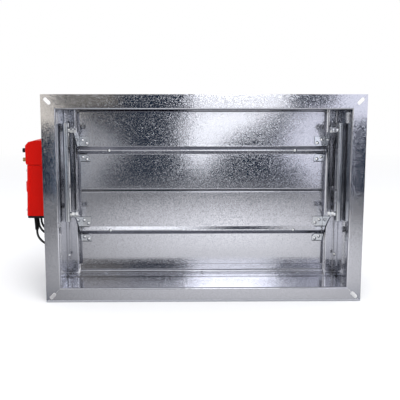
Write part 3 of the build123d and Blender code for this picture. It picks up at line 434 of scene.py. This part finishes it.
def moulded_plastic(name, colour, roughness):
    """Moulded plastic with a fine sparked grain and a little unevenness in its colour."""
    material, tree, shader = new_material(name)
    place = object_place(tree)
    cloud = noise(tree, place, PLASTIC_CLOUD)
    uneven = mix_colour(tree, cloud, colour, shaded(colour, PLASTIC_SHADE))
    tree.links.new(uneven, shader.inputs["Base Color"])
    gloss = [roughness * share for share in PLASTIC_GLOSS_SPREAD]
    tree.links.new(remap(tree, cloud, *gloss), shader.inputs["Roughness"])
    grain = noise(tree, place, PLASTIC_GRAIN)
    tree.links.new(bump(tree, grain, PLASTIC_GRAIN_HEIGHT), shader.inputs["Normal"])
    shader.inputs["Specular IOR Level"].default_value = PLASTIC_SPECULAR
    return material


def put_material(pieces, material):
    """Gives CAD pieces a finish."""
    for name in pieces:
        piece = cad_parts[name]
        piece.data.materials.clear()
        piece.data.materials.append(material)


# Operators

class DAMPER_OT_finish_sheets(bpy.types.Operator):
    """Give the casing, the stops, the jambs and the blades their spangled zinc."""

    bl_idname = "damper.finish_sheets"
    bl_label = "Finish sheets"

    def execute(self, context):
        look = context.scene.damper_metal
        # Painted shade: the casing's sides also darken to a bluish shade deep inside the casing
        duct_shaded = galvanised_sheet("duct_shaded_sheet", look, look.casing_lean, CASING_GLOSS, duct_shaded=True)
        put_material(DUCT_SHADED_SHEETS, duct_shaded)
        clean = galvanised_sheet("clean_sheet", look, look.casing_lean, CASING_GLOSS)
        put_material(CLEAN_SHEETS, clean)
        skins = [f"{blade}_{face}_skin" for blade in BLADES for face in ("front", "rear")]
        put_material(skins, galvanised_sheet("blade_sheet", look, look.blade_lean, BLADE_GLOSS))
        return {"FINISHED"}


class DAMPER_OT_finish_linkage(bpy.types.Operator):
    """Give the levers, link bars, shafts, bushes and fasteners their finishes."""

    bl_idname = "damper.finish_linkage"
    bl_label = "Finish linkage"

    def execute(self, context):
        look = context.scene.damper_metal
        levers = [f"{blade}_{side}_lever" for blade in BLADES for side in SIDES]
        links = [f"{side}_link_bar" for side in SIDES]
        put_material(levers + links, zinc_plate("zinc_plate", look, look.plate))
        small = [f"{blade}_{kind}" for blade in BLADES for kind in ("rivets", "pivot_bolts", "pivot_nuts")]
        put_material(CASING_FASTENERS + small, zinc_plate("bright_plate", look, look.bright_plate))
        put_material(SHAFTS + SPRING_CLIPS + OTHER_STEEL, turned_steel(look))
        put_material(BUSHES, cast_metal("bronze", look.bronze))
        put_material(["stop_screw"], cast_metal("brass", look.brass))
        return {"FINISHED"}


class DAMPER_OT_finish_drive(bpy.types.Operator):
    """Give the actuator and the heat-release box their plastics."""

    bl_idname = "damper.finish_drive"
    bl_label = "Finish drive"

    def execute(self, context):
        look = context.scene.damper_plastic
        put_material(RED_PIECES, moulded_plastic("red_housing", look.red, HOUSING_ROUGHNESS))
        put_material(BLACK_PIECES, moulded_plastic("black_plastic", look.black, BOX_ROUGHNESS))
        put_material(["lead_boots"], moulded_plastic("black_rubber", look.rubber, RUBBER_ROUGHNESS))
        put_material(["test_button"], moulded_plastic("red_button", look.button, BUTTON_ROUGHNESS))
        return {"FINISHED"}


class DAMPER_OT_lay_leads(bpy.types.Operator):
    """Lay the three leads from the actuator to the heat-release box."""

    bl_idname = "damper.lay_leads"
    bl_label = "Lay leads"

    def execute(self, context):
        diameter = context.scene.damper_leads.diameter
        rubber = bpy.data.materials["black_rubber"]
        for name, route in LEAD_ROUTES.items():
            curve = bpy.data.curves.new(f"{name}_line", "CURVE")
            curve.dimensions = "3D"
            curve.resolution_u = LEAD_STEPS
            curve.bevel_depth = diameter / 2
            curve.bevel_resolution = LEAD_ROUNDNESS
            spline = curve.splines.new("NURBS")
            spline.points.add(len(route) - 1)
            for point, place in zip(spline.points, route):
                point.co = (*place, 1.0)
            spline.order_u = 3
            spline.use_endpoint_u = True
            curve.materials.append(rubber)
            piece = bpy.data.objects.new(f"{name}_flex", curve)
            context.scene.collection.objects.link(piece)
            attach(piece, "casing")
            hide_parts(name)
        return {"FINISHED"}


# Stage: lengths in metres, angles in degrees

CAMERA_PLACE = (-0.04796, -1.24176, 0.186)
CAMERA_PITCH = 8.4817
CAMERA_YAW = 0.8986
CAMERA_SHIFT = 0.02699
LEVEL_VIEW = 90.0
KEY_PLACE = (0.3, -1.6, 2.2)
KEY_AIM = (0.0, 0.0, 0.0)
KEY_SIZE = 1.6
WHITE = (1.0, 1.0, 1.0)
ROOM_COLOUR = (0.96, 0.97, 1.0)
ROOM_LEVELS = (0.8, 1.3)
ROOM_TOP = 0.8
FLOOR_RADIUS = 30.0
FLOOR_FADE = (1.5, 4.0)
FLOOR_ROUGHNESS = 0.9
CARD_Y = -1.35
DARK_Y = -1.36
FRONT_CARD_Y = -1.345
CARD_TOP = 0.8
CARD_FOOT = -0.195
SOFTBOX_TOP_GAIN = 2.2
TABLE_MIDDLE = (0.10, -0.50)
TABLE_STRETCH = (1.4, 1.0, 1.0)
TABLE_REACH = 0.80
TABLE_GLOW = (1.70, 0.35)
FLAG_HEIGHT = -0.0213
FLAG_GLOW = 0.27
DARK_TINT = (0.32, 0.54, 1.0)
SHADE_TINT = (0.82, 0.89, 1.0)
BLUE_TINT = (0.60, 0.77, 1.0)
SOFTBOX_TINT = (0.98, 0.99, 1.0)
WARM_TINT = (1.0, 0.93, 0.80)
COOL_TINT = (0.90, 0.91, 1.0)


def rectangle(left, right, low, high):
    """Corners of a rectangle in its own plane."""
    return [(left, low), (right, low), (right, high), (left, high)]


# Outlines, in X and Y, of the table top and the flag that show in the sheets
TABLE_TOP = rectangle(left=-1.4, right=1.4, low=DARK_Y, high=-0.004)
FLAG = rectangle(left=-0.21, right=0.28, low=-0.058, high=-0.020)

# Outlines, in X and Z, of what stands behind the camera and shows in the sheets
DARK_ROOM = rectangle(left=-2.6, right=2.8, low=CARD_FOOT, high=0.26)
SOFTBOX = [
    (0.0, CARD_TOP), (0.0, 0.14), (-0.03, 0.01), (-0.03, -0.05), (0.05, -0.15),
    (0.106, -0.043), (0.149, 0.008), (0.40, 0.14), (0.37, 0.17), (0.37, CARD_TOP),
]
SOFTBOX_RIM = rectangle(left=0.0, right=0.38, low=0.148, high=0.222)
SOFTBOX_TOP = rectangle(left=0.0, right=0.37, low=0.225, high=CARD_TOP)
LEFT_BLUE = rectangle(left=-0.515, right=-0.487, low=CARD_FOOT, high=0.083)
LEFT_WALL_GLOW = [
    (-0.485, 0.08), (-0.43, 0.08), (-0.38, 0.05), (-0.30, 0.008), (-0.27, -0.043), (-0.32, -0.085),
    (-0.39, -0.128), (-0.40, CARD_FOOT), (-0.485, CARD_FOOT),
]
LEFT_CARD = [
    (-1.25, 0.085), (-0.475, 0.085), (-0.475, 0.14), (-0.53, 0.155), (-0.53, CARD_TOP), (-1.25, CARD_TOP),
]
RIGHT_CARD = [
    (0.56, 0.155), (0.44, 0.145), (0.46, 0.11), (0.404, 0.008), (0.383, -0.043), (0.50, -0.12),
    (0.53, CARD_FOOT), (0.605, CARD_FOOT), (0.605, 0.105), (1.3, 0.105), (1.3, CARD_TOP), (0.56, CARD_TOP),
]
LEFT_GLOW = rectangle(left=-0.50, right=-0.28, low=0.145, high=0.27)
RIGHT_GLOW = rectangle(left=0.365, right=0.565, low=0.23, high=0.32)
HIGH_SOFTBOX = rectangle(left=-0.45, right=0.02, low=1.5, high=2.3)
HIGH_DARK = rectangle(left=0.15, right=0.49, low=1.5, high=2.3)
DARK_CEILING = rectangle(left=-1.4, right=1.4, low=2.45, high=4.5)


def either(tree, first, second):
    """One where either of two switches is one."""
    return add_node(tree, "ShaderNodeMath", {0: first, 1: second}, operation="MAXIMUM").outputs["Value"]


def mix_shaders(tree, factor, first, second):
    """Shader that goes from the first to the second by a factor."""
    inputs = {"Fac": factor, 1: first.outputs[0], 2: second.outputs[0]}
    return add_node(tree, "ShaderNodeMixShader", inputs).outputs[0]


def studio_world(studio):
    """White to the camera and in reflections, a soft grey room as a source of light."""
    world = bpy.data.worlds.new("studio")
    bpy.context.scene.world = world
    world.use_nodes = True
    tree = world.node_tree
    tree.nodes.clear()
    direction = add_node(tree, "ShaderNodeTexCoord").outputs["Generated"]
    height = add_node(tree, "ShaderNodeSeparateXYZ", {"Vector": direction}).outputs["Z"]
    levels = [studio.ambient * share for share in ROOM_LEVELS]
    level = remap(tree, height, *levels, from_high=ROOM_TOP)
    room = add_node(tree, "ShaderNodeBackground", {"Color": rgba(ROOM_COLOUR), "Strength": level})
    white = add_node(tree, "ShaderNodeBackground", {"Color": rgba(WHITE), "Strength": 1.0})
    path = add_node(tree, "ShaderNodeLightPath").outputs
    shown = either(tree, path["Is Camera Ray"], path["Is Glossy Ray"])
    shown = either(tree, shown, path["Is Transmission Ray"])
    add_node(tree, "ShaderNodeOutputWorld", {"Surface": mix_shaders(tree, shown, room, white)})


def stage_sheet(name, corners, material):
    """Flat polygon that belongs to the stage."""
    mesh = bpy.data.meshes.new(name)
    mesh.from_pydata(corners, [], [range(len(corners))])
    mesh.materials.append(material)
    sheet = bpy.data.objects.new(name, mesh)
    bpy.context.scene.collection.objects.link(sheet)
    return sheet


def studio_floor(studio):
    """Pale floor that keeps the shadow near the part and turns white far away."""
    material, tree, shader = new_material("studio_floor")
    shader.inputs["Base Color"].default_value = rgba(studio.floor)
    shader.inputs["Roughness"].default_value = FLOOR_ROUGHNESS
    far = remap(tree, vector_length(tree, object_place(tree)), 0.0, 1.0, *FLOOR_FADE)
    white = add_node(tree, "ShaderNodeEmission", {"Color": rgba(WHITE), "Strength": 1.0})
    surface = tree.nodes["Material Output"].inputs["Surface"]
    tree.links.new(mix_shaders(tree, far, shader, white), surface)
    lowest = CAD_BOX[0][2]
    corners = rectangle(-FLOOR_RADIUS, FLOOR_RADIUS, -FLOOR_RADIUS, FLOOR_RADIUS)
    stage_sheet("floor", [(x, y, lowest) for x, y in corners], material)


def glowing_material(name):
    """Material that only gives off light, with its node tree and its shader."""
    material = bpy.data.materials.new(name)
    material.use_nodes = True
    tree = material.node_tree
    tree.nodes.clear()
    glow = add_node(tree, "ShaderNodeEmission")
    add_node(tree, "ShaderNodeOutputMaterial", {"Surface": glow.outputs[0]})
    return material, tree, glow


def card_material(name, colour, strength):
    """Material of a card that glows evenly."""
    material, _, glow = glowing_material(name)
    glow.inputs["Color"].default_value = rgba(colour)
    glow.inputs["Strength"].default_value = strength
    return material


def only_reflected(card):
    """Lets a stage sheet show in reflections and nowhere else."""
    card.visible_camera = False
    card.visible_diffuse = False
    card.visible_shadow = False
    card.visible_transmission = False


def reflection_card(name, outline, colour, strength, y=CARD_Y):
    """Upright studio card or softbox that shows in the metal."""
    corners = [(x, y, z) for x, z in outline]
    only_reflected(stage_sheet(name, corners, card_material(name, colour, strength)))


def reflected_table():
    """Grey table top that shows in the metal, brightest in front of the part."""
    material, tree, glow = glowing_material("reflected_table")
    offset = vector_math(tree, "SUBTRACT", object_place(tree), (*TABLE_MIDDLE, CARD_FOOT))
    reach = vector_length(tree, vector_math(tree, "MULTIPLY", offset, TABLE_STRETCH))
    strength = remap(tree, reach, *TABLE_GLOW, from_high=TABLE_REACH)
    tree.links.new(strength, glow.inputs["Strength"])
    only_reflected(stage_sheet("reflected_table", [(x, y, CARD_FOOT) for x, y in TABLE_TOP], material))


def dark_flag():
    """Level grey flag in front of the opening, which darkens what the upper ridge shows."""
    material = card_material("dark_flag", SHADE_TINT, FLAG_GLOW)
    only_reflected(stage_sheet("dark_flag", [(x, y, FLAG_HEIGHT) for x, y in FLAG], material))


def reflection_cards(softbox):
    """Everything behind the camera that gives the sheets their light and dark areas."""
    reflection_card("dark_room", DARK_ROOM, DARK_TINT, strength=0.055, y=DARK_Y)
    reflection_card("softbox", SOFTBOX, SOFTBOX_TINT, strength=softbox)
    reflection_card("softbox_rim", SOFTBOX_RIM, SOFTBOX_TINT, strength=1.25, y=FRONT_CARD_Y)
    top_strength = softbox * SOFTBOX_TOP_GAIN
    reflection_card("softbox_top", SOFTBOX_TOP, SOFTBOX_TINT, strength=top_strength, y=FRONT_CARD_Y)
    reflection_card("left_blue", LEFT_BLUE, BLUE_TINT, strength=0.5)
    reflection_card("left_wall_glow", LEFT_WALL_GLOW, SOFTBOX_TINT, strength=0.65)
    reflection_card("left_card", LEFT_CARD, WARM_TINT, strength=1.2)
    reflection_card("right_card", RIGHT_CARD, COOL_TINT, strength=1.5)
    reflection_card("left_glow", LEFT_GLOW, WARM_TINT, strength=0.26)
    reflection_card("right_glow", RIGHT_GLOW, COOL_TINT, strength=0.9, y=FRONT_CARD_Y)
    reflection_card("high_softbox", HIGH_SOFTBOX, SOFTBOX_TINT, strength=softbox)
    reflection_card("high_dark", HIGH_DARK, DARK_TINT, strength=0.06)
    reflection_card("dark_ceiling", DARK_CEILING, SHADE_TINT, strength=0.29)


def studio_camera(lens):
    """Camera at the photograph's place."""
    camera = bpy.data.cameras.new("view")
    camera.lens = lens
    camera.shift_x = CAMERA_SHIFT
    holder = bpy.data.objects.new("view", camera)
    bpy.context.scene.collection.objects.link(holder)
    holder.location = CAMERA_PLACE
    tilt = math.radians(LEVEL_VIEW - CAMERA_PITCH)
    holder.rotation_euler = Euler((tilt, 0.0, math.radians(-CAMERA_YAW)))
    bpy.context.scene.camera = holder


def key_lamp(power):
    """Large soft lamp overhead, which metal doesn't show."""
    lamp = bpy.data.lights.new("key", "AREA")
    lamp.shape = "DISK"
    lamp.size = KEY_SIZE
    lamp.energy = power
    holder = bpy.data.objects.new("key", lamp)
    bpy.context.scene.collection.objects.link(holder)
    holder.location = KEY_PLACE
    holder.rotation_euler = (Vector(KEY_AIM) - holder.location).to_track_quat("-Z", "Y").to_euler()
    holder.visible_glossy = False


class DAMPER_OT_set_stage(bpy.types.Operator):
    """Build the floor, the studio light and the camera."""

    bl_idname = "damper.set_stage"
    bl_label = "Set stage"

    def execute(self, context):
        studio = context.scene.damper_studio
        context.scene.view_settings.view_transform = "Standard"
        studio_world(studio)
        studio_floor(studio)
        reflected_table()
        dark_flag()
        reflection_cards(studio.softbox)
        studio_camera(studio.lens)
        key_lamp(studio.key)
        return {"FINISHED"}


OPERATORS = [
    DAMPER_OT_finish_sheets,
    DAMPER_OT_finish_linkage,
    DAMPER_OT_finish_drive,
    DAMPER_OT_lay_leads,
    DAMPER_OT_set_stage,
]


class DAMPER_PT_looks(bpy.types.Panel):
    """Sidebar list of the damper's finishes and pieces."""

    bl_label = "Fire Damper"
    bl_idname = "DAMPER_PT_looks"
    bl_space_type = "VIEW_3D"
    bl_region_type = "UI"
    bl_category = "Damper"

    def draw(self, context):
        for group in SETTINGS:
            settings = getattr(context.scene, group)
            for name in settings.__annotations__:
                self.layout.prop(settings, name)
        for operator in OPERATORS:
            self.layout.operator(operator.bl_idname)


SETTINGS = {
    "damper_metal": DamperMetalLook,
    "damper_plastic": DamperPlasticLook,
    "damper_leads": DamperLeads,
    "damper_studio": DamperStudio,
}


def register():
    for name, group in SETTINGS.items():
        bpy.utils.register_class(group)
        setattr(bpy.types.Scene, name, PointerProperty(type=group))
    for operator in OPERATORS:
        bpy.utils.register_class(operator)
    bpy.utils.register_class(DAMPER_PT_looks)


def unregister():
    bpy.utils.unregister_class(DAMPER_PT_looks)
    for operator in reversed(OPERATORS):
        bpy.utils.unregister_class(operator)
    for name, group in SETTINGS.items():
        delattr(bpy.types.Scene, name)
        bpy.utils.unregister_class(group)


def main():
    """Registers the add-on and builds everything in order."""
    register()
    bpy.ops.damper.finish_sheets()
    bpy.ops.damper.finish_linkage()
    bpy.ops.damper.finish_drive()
    bpy.ops.damper.lay_leads()
    bpy.ops.damper.set_stage()


if __name__ == "__main__":
    main()
